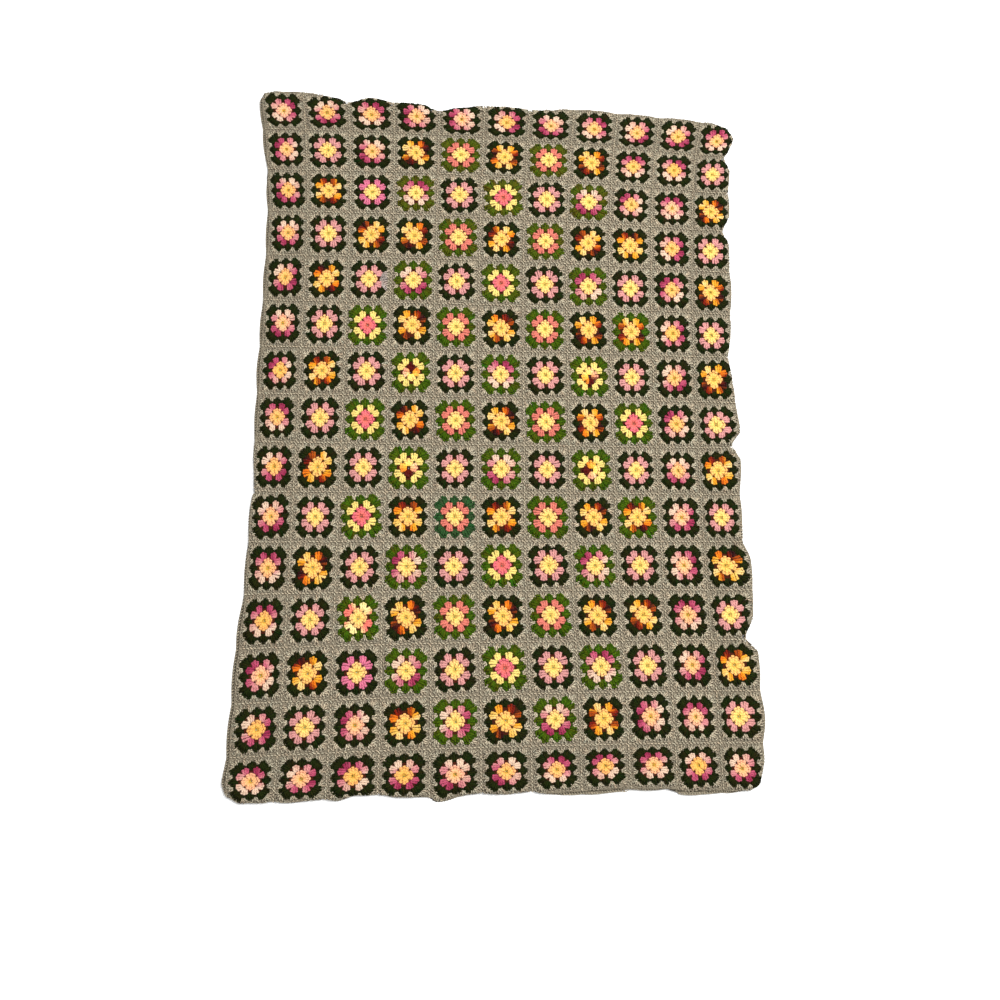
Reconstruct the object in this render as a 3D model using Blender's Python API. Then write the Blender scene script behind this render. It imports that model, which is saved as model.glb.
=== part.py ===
"""Granny square blanket, lying flat.

Eleven by fifteen crocheted squares are joined edge to edge into one sheet, with a narrow
crocheted edging round worked along its whole outline. Each square has a small ring hole at
its middle, a raised flower with a dimple at each of its four corner spaces, a lower ring
round it, and a valley along each join.

The sheet is laid out in squares: u counts them from the left side, v from the head end.
X runs across the blanket, +Y points to its head end and +Z up from the surface it lies on.
"""
import math

import bmesh
import bpy

# Squares: how many, and the size of one, in metres.
COLUMNS = 11
ROWS = 15
SQUARE_WIDTH = 0.113
SQUARE_LENGTH = 0.121
SIDE_COLUMN_WIDTH = 0.103   # the first and last column draw in
END_ROW_LENGTH = 0.108      # and so do the first and last row
MIDDLE_SPREAD = 0.006       # the middle columns are stretched a little wider

# A square's rings, as shares of a square from its middle: (along its axes, along each
# axis at its diagonals), and their heights in metres.
FLOWER_RIM = (0.37, 0.32)
FLOWER_MIDDLE = (0.19, 0.11)
RING_HOLE = 0.016
JOIN_HEIGHT = 0.0034
CORNER_HEIGHT = 0.0042
RIM_HEIGHT = 0.0052
CENTRE_CLUSTER_HEIGHT = 0.0064
DIMPLE_HEIGHT = 0.0034
HOLE_RIM_HEIGHT = 0.0052

# The edging round: a half-round strip outside the squares, face to face with them.
CLEARANCE = 0.0003
EDGING_PROFILE = (          # (distance out from the squares, height)
    (CLEARANCE, 0.0),
    (CLEARANCE, 0.0036),
    (0.0036, 0.0050),
    (0.0070, 0.0030),
    (0.0062, 0.0),
)

# How the whole sheet drifts from a straight grid, in millimetres: across and up at the
# left side, the middle and the right side, for lines across it at v squares from the head.
DRIFT = (
    # v, across: left, middle, right, up: left, middle, right
    (0.0, -14, 22, 46, -10, -16, -46),
    (1.5, 5, 14, 16, -6, 3, -24),
    (3.0, 20, 6, 2, 2, 8, -8),
    (5.0, 18, 0, -10, 0, 6, 0),
    (8.0, 13, -2, -16, -3, -1, 1),
    (11.0, 6, -3, -10, -9, 1, 4),
    (13.0, -2, 3, -2, -16, 0, 4),
    (15.0, -14, 4, 2, -8, 6, 2),
)

# How far the border is turned under or pulled out along each side: (squares along the
# side, millimetres drawn in). The head and foot count from the left, the sides from the head.
HEAD_TURN = (
    (0, 9), (0.5, 2), (1, -6), (1.75, 13), (2, 18), (2.5, 8), (3, 14), (3.6, 17), (4, 28),
    (4.5, 21), (5, 7), (6.2, 9), (7, -6), (9, -6), (10, -7), (10.75, 10), (11, 16),
)
FOOT_TURN = (
    (0, 24), (0.3, 12), (1.2, 6), (1.75, 10), (2.2, 5), (2.8, 14), (3.5, 8), (4.1, -2),
    (4.75, 9), (6.3, 6), (7.1, -2), (7.8, 2), (8, 10), (8.9, 13), (9.03, -8), (10, -1),
    (10.6, 9), (11, 20),
)
LEFT_TURN = (
    (0, 10), (0.3, -2), (1, -3), (2, 4), (2.7, -1), (5, 0), (6.3, -2), (8, 1), (8.75, 8),
    (9.5, 3), (10.9, 2), (12, -7), (14.5, -5), (15, 12),
)
RIGHT_TURN = (
    (0, 30), (0.4, 13), (0.8, 22), (1, 28), (1.4, 11), (2.5, 6), (3, 22), (3.3, 8),
    (4.2, 2), (5, 1), (6, 13), (7.4, -3), (7.75, 9), (8.4, -1), (9.5, 1), (11, -11),
    (11.5, 0), (11.95, 24), (12.25, -4), (13, -7), (14.2, -2), (15, 18),
)
SCALLOP = 0.002             # each square's side bows out this far between its joins
TURN_REACH = 0.5            # squares in from the side over which a turn is taken up
TURN_LIFT = 0.25            # height that the turned border gains, per metre turned
MOST_LIFT = 0.004
PUCKER = 0.0008             # slow unevenness of the whole sheet's height

STEPS = 4                   # a square's side has this many steps on the outline
MM = 0.001


def smooth_row(rows, v, column):
    """One column of a table read at v, on a smooth curve through its rows."""
    last = len(rows) - 1
    k = max(i for i in range(last) if rows[i][0] <= v)
    before, low, high, after = (rows[min(max(k + i, 0), last)] for i in (-1, 0, 1, 2))
    span = high[0] - low[0]
    t = (v - low[0]) / span
    slope_low = span * (high[column] - before[column]) / (high[0] - before[0])
    slope_high = span * (after[column] - low[column]) / (after[0] - low[0])
    rise = high[column] - low[column]
    return low[column] + t * slope_low + t * t * (
        3 * rise - 2 * slope_low - slope_high + t * (slope_low + slope_high - 2 * rise)
    )


def straight(count, pitch, end_pitch, position):
    """Distance from the middle of a row of squares whose first and last are shorter."""
    away = position - count / 2
    inner = count / 2 - 1
    reach = min(abs(away), inner) * pitch + max(abs(away) - inner, 0) * end_pitch
    return math.copysign(reach, away)


def spread_out(u, v):
    """The place of (u, v) on the sheet before its border is turned."""
    side = 2 * u / COLUMNS - 1
    drift = []
    for first in (1, 4):
        left, middle, right = (smooth_row(DRIFT, v, first + i) * MM for i in range(3))
        bow = (left + right) / 2 - middle
        drift.append(middle + side * (right - left) / 2 + side * side * bow)
    x = straight(COLUMNS, SQUARE_WIDTH, SIDE_COLUMN_WIDTH, u) + drift[0]
    y = drift[1] - straight(ROWS, SQUARE_LENGTH, END_ROW_LENGTH, v)
    return x + MIDDLE_SPREAD * math.sin(math.pi * side), y


def turned(table, along):
    """How far the border is drawn in at a place along one side."""
    k = max(i for i in range(len(table) - 1) if table[i][0] <= along)
    (start, low), (end, high) = table[k], table[k + 1]
    t = (along - start) / (end - start)
    scallop = SCALLOP * (1 - 2 * abs(math.sin(math.pi * along)))
    return (low + (high - low) * t * t * (3 - 2 * t)) * MM + scallop


def turns(u, v):
    """What the four sides draw in at (u, v): metres at the left, right, head and foot."""
    sides = (
        (LEFT_TURN, v, u),
        (RIGHT_TURN, v, COLUMNS - u),
        (HEAD_TURN, u, v),
        (FOOT_TURN, u, ROWS - v),
    )
    return [
        turned(table, along) * max(0, 1 - depth / TURN_REACH) for table, along, depth in sides
    ]


def place(u, v):
    """The place of (u, v) on the finished sheet, seen from above."""
    left, right, head, foot = turns(u, v)
    x, y = spread_out(u, v)
    return x + left - right, y + foot - head


def lift(u, v):
    """How much higher than its own thickness the sheet's top is at (u, v)."""
    pucker = PUCKER * (1 + math.sin(1.9 * u + 0.6 * v) * math.sin(1.3 * v - 0.5 * u))
    return min(TURN_LIFT * max(0, *turns(u, v)), MOST_LIFT) + pucker


def outline():
    """The sheet's rim as (u, v), anticlockwise from its left foot corner."""
    across = [i / STEPS for i in range(COLUMNS * STEPS)]
    down = [i / STEPS for i in range(ROWS * STEPS)]
    foot = [(u, ROWS) for u in across]
    right = [(COLUMNS, ROWS - v) for v in down]
    head = [(COLUMNS - u, 0) for u in across]
    left = [(0, v) for v in down]
    return foot + right + head + left


def middle_of_outline():
    """The middle of the outline's bounding box, edging included."""
    corners = [place(u, v) for u, v in outline()]
    return [(min(axis) + max(axis)) / 2 for axis in zip(*corners)]


CENTRE_X, CENTRE_Y = middle_of_outline()


def vertex(bm, known, u, v, height, name):
    """The vertex of that name at (u, v), made the first time it is asked for."""
    key = (name, round(u * 1000), round(v * 1000))
    if key not in known:
        x, y = place(u, v)
        top = height + lift(u, v) if height else 0
        known[key] = bm.verts.new((x - CENTRE_X, y - CENTRE_Y, top))
    return known[key]


def rim_points(column, row):
    """A square's rim from its foot left corner, anticlockwise: eight runs of (u, v), each
    from a corner or a side's middle to the next, with the outline's own steps between."""
    corners = [(column, row + 1), (column + 1, row + 1), (column + 1, row), (column, row)]
    outside = [row == ROWS - 1, column == COLUMNS - 1, row == 0, column == 0]
    runs = []
    for k, (start, on_outline) in enumerate(zip(corners, outside)):
        end = corners[(k + 1) % 4]
        steps = STEPS if on_outline else 2
        side = [
            tuple(a + (b - a) * i / steps for a, b in zip(start, end)) for i in range(steps + 1)
        ]
        half = steps // 2
        runs += [side[:half + 1], side[half:]]
    return runs


def ring_points(column, row, reach):
    """Eight points round a square's middle, in step with the runs of its rim."""
    along_axis, along_diagonal = reach
    directions = [(-1, 1), (0, 1), (1, 1), (1, 0), (1, -1), (0, -1), (-1, -1), (-1, 0)]
    points = []
    for across, down in directions:
        share = along_diagonal if across and down else along_axis
        points.append((column + 0.5 + across * share, row + 0.5 + down * share))
    return points


def top_of_square(bm, known, column, row):
    """A square's upper surface: join valley, flower rim, centre clusters and dimples, hole."""
    rim = ring_points(column, row, FLOWER_RIM)
    middle = ring_points(column, row, FLOWER_MIDDLE)
    hole = ring_points(column, row, (RING_HOLE, RING_HOLE))
    rim = [vertex(bm, known, u, v, RIM_HEIGHT, "flower") for u, v in rim]
    heights = (DIMPLE_HEIGHT, CENTRE_CLUSTER_HEIGHT) * 4
    middle = [vertex(bm, known, u, v, h, "middle") for (u, v), h in zip(middle, heights)]
    hole = [vertex(bm, known, u, v, HOLE_RIM_HEIGHT, "hole") for u, v in hole[::2]]
    for k, run in enumerate(rim_points(column, row)):
        after = (k + 1) % 8
        edge = []
        for u, v in run:
            height = CORNER_HEIGHT if u == round(u) and v == round(v) else JOIN_HEIGHT
            edge.append(vertex(bm, known, u, v, height, "join"))
        bm.faces.new(edge + [rim[after], rim[k]])
        bm.faces.new((rim[k], rim[after], middle[after], middle[k]))
    for k in range(4):
        clusters = (middle[2 * k], middle[2 * k + 1], middle[(2 * k + 2) % 8])
        bm.faces.new(clusters + (hole[(k + 1) % 4], hole[k]))
    return hole


def underside_of_square(bm, known, column, row, hole):
    """A square's flat underside and the wall of its hole."""
    points = ring_points(column, row, (RING_HOLE, RING_HOLE))[::2]
    low_hole = [vertex(bm, known, u, v, 0, "low hole") for u, v in points]
    runs = rim_points(column, row)
    for k in range(4):
        after = (k + 1) % 4
        side = runs[2 * k] + runs[2 * k + 1][1:]
        if len(side) == 3:
            side = [side[0], side[-1]]
        edge = [vertex(bm, known, u, v, 0, "low join") for u, v in side]
        bm.faces.new([low_hole[k], low_hole[after]] + edge[::-1])
        bm.faces.new((hole[k], hole[after], low_hole[after], low_hole[k]))


def sheet_mesh():
    """The whole cloth of squares as one closed body."""
    bm = bmesh.new()
    known = {}
    for row in range(ROWS):
        for column in range(COLUMNS):
            hole = top_of_square(bm, known, column, row)
            underside_of_square(bm, known, column, row, hole)
    rim = outline()
    for (u, v), (next_u, next_v) in zip(rim, rim[1:] + rim[:1]):
        high = [vertex(bm, known, *at, JOIN_HEIGHT, "join") for at in ((u, v), (next_u, next_v))]
        low = [vertex(bm, known, *at, 0, "low join") for at in ((u, v), (next_u, next_v))]
        bm.faces.new((low[0], low[1], high[1], high[0]))
    return bm


def outward(before, here, after):
    """The step out from a corner of the outline that keeps one metre from both its edges."""
    normals = []
    for (x0, y0), (x1, y1) in ((before, here), (here, after)):
        length = math.hypot(x1 - x0, y1 - y0)
        normals.append(((y1 - y0) / length, (x0 - x1) / length))
    (ax, ay), (bx, by) = normals
    share = 1 / (1 + ax * bx + ay * by)
    return (ax + bx) * share, (ay + by) * share


def edging_mesh():
    """The edging round: its profile carried once round the outline."""
    bm = bmesh.new()
    rim = outline()
    spots = [place(u, v) for u, v in rim]
    loops = []
    for k, (u, v) in enumerate(rim):
        x, y = spots[k]
        out_x, out_y = outward(spots[k - 1], spots[k], spots[(k + 1) % len(rim)])
        loop = []
        for out, height in EDGING_PROFILE:
            top = height + lift(u, v) if height else 0
            at = (x + out * out_x - CENTRE_X, y + out * out_y - CENTRE_Y, top)
            loop.append(bm.verts.new(at))
        loops.append(loop)
    for loop, following in zip(loops, loops[1:] + loops[:1]):
        for k in range(len(loop)):
            after = (k + 1) % len(loop)
            bm.faces.new((loop[k], loop[after], following[after], following[k]))
    return bm


def yarn_material(name, colour, roughness):
    """Plain wool or acrylic yarn."""
    material = bpy.data.materials.new(name)
    material.use_nodes = True
    shader = material.node_tree.nodes["Principled BSDF"]
    shader.inputs["Base Color"].default_value = (*colour, 1)
    shader.inputs["Roughness"].default_value = roughness
    shader.inputs["Metallic"].default_value = 0
    return material


def add_piece(name, bm, material):
    """A named object from a bmesh, with its faces in triangles and turned outwards."""
    bmesh.ops.triangulate(bm, faces=bm.faces)
    bmesh.ops.recalc_face_normals(bm, faces=bm.faces)
    mesh = bpy.data.meshes.new(name)
    bm.to_mesh(mesh)
    bm.free()
    mesh.materials.append(material)
    piece = bpy.data.objects.new(name, mesh)
    bpy.context.scene.collection.objects.link(piece)
    return piece


def main():
    for old in list(bpy.data.objects):
        bpy.data.objects.remove(old)
    add_piece("blanket", sheet_mesh(), yarn_material("squares yarn", (0.32, 0.27, 0.20), 0.9))
    add_piece("edging", edging_mesh(), yarn_material("marl yarn", (0.26, 0.23, 0.19), 0.9))


main()
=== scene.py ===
"""The looks of the granny square blanket: every crocheted stitch, laid on the CAD sheet."""
import math

import bmesh
import bpy
import numpy as np
from mathutils import Matrix, Vector


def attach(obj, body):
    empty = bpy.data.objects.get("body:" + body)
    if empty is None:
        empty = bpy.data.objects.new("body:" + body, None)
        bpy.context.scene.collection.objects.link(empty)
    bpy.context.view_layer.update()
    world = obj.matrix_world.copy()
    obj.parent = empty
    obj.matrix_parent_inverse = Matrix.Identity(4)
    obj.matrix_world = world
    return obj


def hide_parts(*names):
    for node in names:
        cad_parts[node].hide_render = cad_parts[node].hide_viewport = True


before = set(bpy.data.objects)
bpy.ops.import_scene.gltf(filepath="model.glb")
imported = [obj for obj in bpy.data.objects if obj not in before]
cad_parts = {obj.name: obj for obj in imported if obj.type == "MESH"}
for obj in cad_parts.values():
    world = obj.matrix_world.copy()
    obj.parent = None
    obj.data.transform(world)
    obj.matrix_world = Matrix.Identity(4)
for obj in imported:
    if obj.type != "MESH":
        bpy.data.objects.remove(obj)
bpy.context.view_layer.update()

MM = 0.001
RNG = np.random.default_rng(11)

# ---------------------------------------------------------------- the sheet's layout
# Squares are counted across (u, from the left) and down (v, from the head end), and every
# stitch is first placed there, then settled on the uneven sheet that the CAD solid has.
COLUMNS = 11
ROWS = 15
SQUARE_WIDTH = 0.113
SQUARE_LENGTH = 0.121
SIDE_COLUMN_WIDTH = 0.103   # the first and last column draw in
END_ROW_LENGTH = 0.108      # and so do the first and last row
MIDDLE_SPREAD = 0.006       # the middle columns are stretched a little wider

# Drift from a straight grid, in millimetres, for lines across the sheet at v.
DRIFT = (
    # v, across: left, middle, right, up: left, middle, right
    (0.0, -14, 22, 46, -10, -16, -46),
    (1.5, 5, 14, 16, -6, 3, -24),
    (3.0, 20, 6, 2, 2, 8, -8),
    (5.0, 18, 0, -10, 0, 6, 0),
    (8.0, 13, -2, -16, -3, -1, 1),
    (11.0, 6, -3, -10, -9, 1, 4),
    (13.0, -2, 3, -2, -16, 0, 4),
    (15.0, -14, 4, 2, -8, 6, 2),
)

# How far the border is turned under or pulled out: (squares along the side, millimetres).
HEAD_TURN = (
    (0, 9), (0.5, 2), (1, -4), (1.75, 16), (2, 25), (2.5, 10), (3, 17), (3.6, 20), (4, 36),
    (4.5, 23), (5, 9), (6.2, 10), (7, -6), (9, -5), (10, -5), (10.75, 12), (11, 18),
)
FOOT_TURN = (
    (0, 24), (0.3, 12), (1.2, 7), (1.75, 10), (2.2, 6), (2.6, 18), (2.8, 15), (3.5, 9),
    (3.9, 7), (4.15, -6), (4.75, 9), (5.5, 8), (5.8, 10), (6.3, 6), (7.1, -2), (7.8, 2), (8, 10),
    (8.9, 13), (9.03, -8), (10, 0), (10.6, 9), (11, 20),
)
LEFT_TURN = (
    (0, 12), (0.3, 1), (1, 0), (2, 6), (2.7, 2), (5, 3), (6.3, 1), (8, 4), (8.75, 11),
    (9.5, 6), (10.9, 4), (12, -5), (14.5, -4), (15, 12),
)
RIGHT_TURN = (
    (0, 34), (0.4, 15), (0.8, 22), (1, 28), (1.4, 11), (2.5, 6), (3, 22), (3.3, 8),
    (4.2, -1), (5, 1), (6, 13), (7.2, -5), (7.6, -9), (7.92, 14), (8.25, -6), (8.9, 0),
    (9.9, 4), (10.4, -11), (11, -12), (11.5, -4), (11.95, 20), (12.25, -8), (13, -7),
    (13.5, -10), (14.2, -2), (15, 18),
)
# How much lower the flowers of the foot row lie: (squares along the foot, millimetres).
FOOT_DROP = (
    (0, 1), (1.5, 3), (2.5, 1), (3.5, 7), (4.5, 6), (5.5, 3), (6.5, 2), (7.5, -5), (8.5, -5),
    (9.5, -4), (10.5, 5), (11, 6),
)
SCALLOP = 0.002             # each square's side bows out this far between its joins
TURN_REACH = 0.5            # squares in from the side over which a pull is taken up
EVEN_PULL = 0.001           # a border drawn in further than this rolls under instead
LEFT_EASE = 0.03            # border squares keep their size: what is over goes under the roll
RIGHT_EASE = 0.15
HEAD_EASE = 0.15
CORNER_EASE = 0.15          # more at the head of the last column, less at its right side
ROLL_RADIUS = 0.003
LIFT_REACH = 0.050          # metres in from a rolled border over which the cloth rises
LIFT_SHARE = 0.8            # it stays up over this much of what is doubled under
SQUASH = 0.65               # how far the stitches lie down where the cloth rolls
SQUASH_REACH = 0.014
PUCKER = 0.0008             # slow unevenness of the whole sheet's height
EDGING_WIDTH = 0.007
CLOTH_MIDDLE = 0.0024       # height of the cloth's middle above its own underside
LOWEST = 0.0002             # nothing is pressed closer than this to what it lies on
OUTLINE_STEPS = 4           # a square's side has this many steps on the outline


def smooth_column(rows, column, v):
    """One column of a table read at every v, on a smooth curve through its rows."""
    table = np.array(rows, float)
    at, value = table[:, 0], table[:, column]
    k = np.clip(np.searchsorted(at, v, side="right") - 1, 0, len(at) - 2)
    before, after = np.maximum(k - 1, 0), np.minimum(k + 2, len(at) - 1)
    span = at[k + 1] - at[k]
    t = (v - at[k]) / span
    slope_low = span * (value[k + 1] - value[before]) / (at[k + 1] - at[before])
    slope_high = span * (value[after] - value[k]) / (at[after] - at[k])
    rise = value[k + 1] - value[k]
    return value[k] + t * slope_low + t * t * (
        3 * rise - 2 * slope_low - slope_high + t * (slope_low + slope_high - 2 * rise)
    )


def straight(count, pitch, end_pitch, position):
    """Distance from the middle of a row of squares whose first and last are shorter."""
    away = position - count / 2
    inner = count / 2 - 1
    reach = np.minimum(abs(away), inner) * pitch + np.maximum(abs(away) - inner, 0) * end_pitch
    return np.copysign(reach, away)


def spread_out(u, v):
    """The place of (u, v) on the sheet before its border is turned."""
    side = 2 * np.clip(u, 0, COLUMNS) / COLUMNS - 1
    level = np.clip(v, 0, ROWS)
    drift = []
    for first in (1, 4):
        left, middle, right = (smooth_column(DRIFT, first + i, level) * MM for i in range(3))
        bow = (left + right) / 2 - middle
        drift.append(middle + side * (right - left) / 2 + side * side * bow)
    x = straight(COLUMNS, SQUARE_WIDTH, SIDE_COLUMN_WIDTH, u) + drift[0]
    y = drift[1] - straight(ROWS, SQUARE_LENGTH, END_ROW_LENGTH, v)
    return x + MIDDLE_SPREAD * np.sin(np.pi * side), y


def turned(table, along):
    """How far the border is drawn in at each place along one side, in metres."""
    at, value = np.array(table, float).T
    along = np.clip(along, at[0], at[-1])
    k = np.clip(np.searchsorted(at, along, side="right") - 1, 0, len(at) - 2)
    t = (along - at[k]) / (at[k + 1] - at[k])
    scallop = SCALLOP * (1 - 2 * abs(np.sin(np.pi * along)))
    return (value[k] + (value[k + 1] - value[k]) * t * t * (3 - 2 * t)) * MM + scallop


def sides_of(u, v):
    """For each side: its table, place along it, metres out past its squares, way out."""
    return (
        (LEFT_TURN, v, -u * SIDE_COLUMN_WIDTH, SQUARE_WIDTH, 0, -1),
        (RIGHT_TURN, v, (u - COLUMNS) * SIDE_COLUMN_WIDTH, SQUARE_WIDTH, 0, 1),
        (HEAD_TURN, u, -v * END_ROW_LENGTH, SQUARE_LENGTH, 1, 1),
        (FOOT_TURN, u, (v - ROWS) * END_ROW_LENGTH, SQUARE_LENGTH, 1, -1),
    )


def eased(inward, ease):
    """A place so many squares in from a side, with its border square at its full size."""
    past = inward - 0.5
    return inward + ease * past * np.clip(1 - past / 0.5, 0, 1)


def settle(u, v, height):
    """World places of points at (u, v) and a height in the cloth: the sheet drifts, its
    border is rolled under, and it rises a little where the roll carries it."""
    corner = CORNER_EASE * np.clip(2 * (u - COLUMNS + 1), 0, 1) * np.clip(2 - v, 0, 1)
    v = eased(v, HEAD_EASE + corner)
    u = COLUMNS - eased(COLUMNS - eased(u, LEFT_EASE), RIGHT_EASE - corner)
    at, drop = np.array(FOOT_DROP, float).T
    lower = np.clip(2 * (v - ROWS + 1), 0, 1)
    v = v + np.interp(u, at, drop) * MM / END_ROW_LENGTH * lower * lower * (3 - 2 * lower)
    place = list(spread_out(u, v))
    rise = PUCKER * (1 + np.sin(1.9 * u + 0.6 * v) * np.sin(1.3 * v - 0.5 * u))
    level = height - CLOTH_MIDDLE
    for table, along, out, pitch, axis, way in sides_of(u, v):
        drawn = turned(table, along)
        pull = np.minimum(drawn, EVEN_PULL)
        at = out - pull * np.clip(1 + out / (TURN_REACH * pitch), 0, 1)
        roll_start = EDGING_WIDTH - drawn - ROLL_RADIUS
        end_angle = np.clip((drawn - pull) / ROLL_RADIUS + 1, 0, np.pi)
        outer = ROLL_RADIUS - np.sign(np.cos(end_angle)) * CLOTH_MIDDLE
        carried = np.maximum(ROLL_RADIUS - CLOTH_MIDDLE - outer * np.cos(end_angle), 0)
        doubled = LIFT_SHARE * np.maximum(drawn, 0)
        near = np.clip(1 + (at - roll_start + doubled) / LIFT_REACH, 0, 1)
        rise = np.maximum(rise, PUCKER + carried * near * near * (3 - 2 * near))
        past = at - roll_start
        close = np.clip(1 + past / SQUASH_REACH, 0, 1)
        level = level * (1 - SQUASH * close * close * (3 - 2 * close))
        angle = np.clip(past / ROLL_RADIUS, 0, np.pi)
        radius = ROLL_RADIUS + level
        flat_end = np.minimum(past, 0) - np.maximum(past - np.pi * ROLL_RADIUS, 0)
        rolled = flat_end + radius * np.sin(angle)
        under = level < -ROLL_RADIUS
        rolled = np.where(under, -abs(past), rolled)
        level = np.where(under, level, radius * np.cos(angle) - ROLL_RADIUS)
        place[axis] = place[axis] + way * (roll_start + rolled - out)
    z = np.maximum(level + CLOTH_MIDDLE + rise, LOWEST)
    return np.stack([place[0] - CENTRE[0], place[1] - CENTRE[1], z], axis=-1)


def middle_of_outline():
    """The middle of the outline's bounding box, as the CAD sheet centres itself."""
    spots = []
    for i in range(2 * (COLUMNS + ROWS) * OUTLINE_STEPS):
        at = i / OUTLINE_STEPS
        if at < COLUMNS:
            u, v = at, ROWS
        elif at < COLUMNS + ROWS:
            u, v = COLUMNS, COLUMNS + ROWS - at
        elif at < 2 * COLUMNS + ROWS:
            u, v = 2 * COLUMNS + ROWS - at, 0
        else:
            u, v = 0, at - 2 * COLUMNS - ROWS
        u, v = np.array([float(u)]), np.array([float(v)])
        x, y = spread_out(u, v)
        pulls = [
            turned(table, along) * np.clip(1 + out / (TURN_REACH * pitch), 0, 1)
            for (table, along, out, _, axis, way), pitch in zip(
                sides_of(u, v),
                (SIDE_COLUMN_WIDTH, SIDE_COLUMN_WIDTH, END_ROW_LENGTH, END_ROW_LENGTH),
            )
        ]
        spots.append((x[0] + pulls[0][0] - pulls[1][0], y[0] + pulls[3][0] - pulls[2][0]))
    return [(min(axis) + max(axis)) / 2 for axis in zip(*spots)]


CENTRE = middle_of_outline()

# ---------------------------------------------------------------- yarn colours
# Colours as the eye reads them (sRGB, 0 to 255), one name for each yarn.
YARN = {
    "yellow": (235, 185, 110),
    "gold": (230, 165, 80),
    "peach": (230, 165, 130),
    "amber": (235, 175, 95),
    "pale_yellow": (220, 195, 110),
    "coral": (200, 110, 95),
    "salmon": (215, 100, 105),
    "light_pink": (195, 135, 130),
    "hot_pink": (200, 105, 130),
    "dark_green": (30, 35, 10),
    "leaf_green": (60, 80, 10),
    "teal": (45, 75, 40),
    "marl_light": (180, 170, 145),
    "marl_brown": (115, 100, 85),
}
# The shades that the space-dyed yarns are dyed in.
DYE = {
    "shell": (210, 180, 155),
    "blush": (200, 155, 135),
    "rose": (195, 125, 125),
    "raspberry": (175, 75, 100),
    "plum": (140, 40, 70),
    "straw": (225, 190, 120),
    "honey": (220, 175, 85),
    "marigold": (220, 150, 35),
    "pumpkin": (215, 110, 20),
    "russet": (120, 25, 5),
    "umber": (40, 5, 5),
    "chestnut": (155, 65, 10),
    "garnet": (75, 10, 5),
    "flame": (230, 130, 40),
    "apricot": (240, 175, 70),
    "butter": (245, 200, 110),
    "biscuit": (235, 185, 135),
    "clay": (225, 145, 110),
    "primrose": (235, 215, 145),
    "poppy": (225, 115, 100),
}


def dyed(*shades):
    """A space-dyed yarn, from its shades in the order they run along it."""
    return tuple(DYE[shade] for shade in shades)


ROSE_RUN = dyed("shell", "blush", "rose", "raspberry", "plum", "raspberry", "rose", "shell")
AUTUMN_RUN = dyed(
    "straw", "honey", "marigold", "pumpkin", "russet", "umber", "chestnut", "marigold"
)
EMBER_RUN = dyed("garnet", "garnet", "flame", "apricot", "butter", "butter", "biscuit", "clay")
SUNSET_RUN = dyed(*2 * ("primrose", "primrose", "poppy", "poppy"))
DYE_BLEND = 0.5             # share of each dyed length over which it turns into the next


def linear(colour):
    """Scene-linear numbers for a colour given as sRGB from 0 to 255."""
    c = np.array(colour, float) / 255
    return np.where(c <= 0.04045, c / 12.92, ((c + 0.055) / 1.055) ** 2.4)


def along_run(run, phase):
    """The colours of a space-dyed yarn at each phase, one repeat to each whole number."""
    stops = linear(run)
    at = np.mod(phase, 1) * len(stops)
    low = np.floor(at).astype(int) % len(stops)
    t = (at - np.floor(at))[..., None]
    t = np.clip((t - (1 - DYE_BLEND) / 2) / DYE_BLEND, 0, 1)
    return stops[low] * (1 - t) + stops[(low + 1) % len(stops)] * t


# Each kind of square: centre yarn and petal yarn (plain, or a run), ring yarn.
KINDS = {
    "rose": ("gold", ROSE_RUN, "dark_green"),
    "rose_on_leaf": ("yellow", ROSE_RUN, "leaf_green"),
    "pink": ("yellow", "light_pink", "dark_green"),
    "hot_pink": ("yellow", "hot_pink", "dark_green"),
    "autumn": ("amber", AUTUMN_RUN, "dark_green"),
    "autumn_on_leaf": ("amber", AUTUMN_RUN, "leaf_green"),
    "ember": (EMBER_RUN, "pale_yellow", "leaf_green"),
    "coral": ("yellow", "coral", "leaf_green"),
    "coral_on_teal": ("yellow", "coral", "teal"),
    "lemon": ("salmon", "pale_yellow", "leaf_green"),
    "sunset": ("yellow", SUNSET_RUN, "leaf_green"),
}
# Squares that leave the plan below: (column, row), both from 1.
ODD_ONES = {
    (3, 2): "rose", (9, 2): "rose", (3, 14): "rose", (9, 14): "rose",
    (3, 3): "hot_pink", (9, 3): "rose", (3, 13): "hot_pink", (9, 13): "pink",
    (6, 7): "rose_on_leaf", (6, 9): "rose_on_leaf",
    (3, 4): "autumn", (9, 4): "autumn", (9, 12): "autumn", (3, 12): "sunset",
    (9, 6): "autumn_on_leaf", (9, 10): "autumn_on_leaf",
    (5, 14): "rose_on_leaf", (7, 14): "rose_on_leaf", (5, 10): "coral_on_teal",
}


def kind_of(column, row):
    """The kind of the square in a column and row, both counted from 1."""
    if (column, row) in ODD_ONES:
        return ODD_ONES[column, row]
    if row in (1, ROWS) or column in (1, COLUMNS - 1):
        return "rose"
    if column in (2, COLUMNS):
        return "autumn" if row % 2 else "pink"
    if row % 2 == 0:
        return ("lemon", "autumn", "coral")[0 if column in (3, 9) else 1 + column % 2]
    if column % 2:
        return "pink"
    if column == 6:
        return "lemon"
    return "ember" if row in (7, 9) else "rose_on_leaf"


SQUARES = [(column, row) for row in range(ROWS) for column in range(COLUMNS)]
SQUARE_KINDS = [kind_of(column + 1, row + 1) for column, row in SQUARES]
IS_LEAF = np.array([KINDS[kind][2] != "dark_green" for kind in SQUARE_KINDS])

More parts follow.
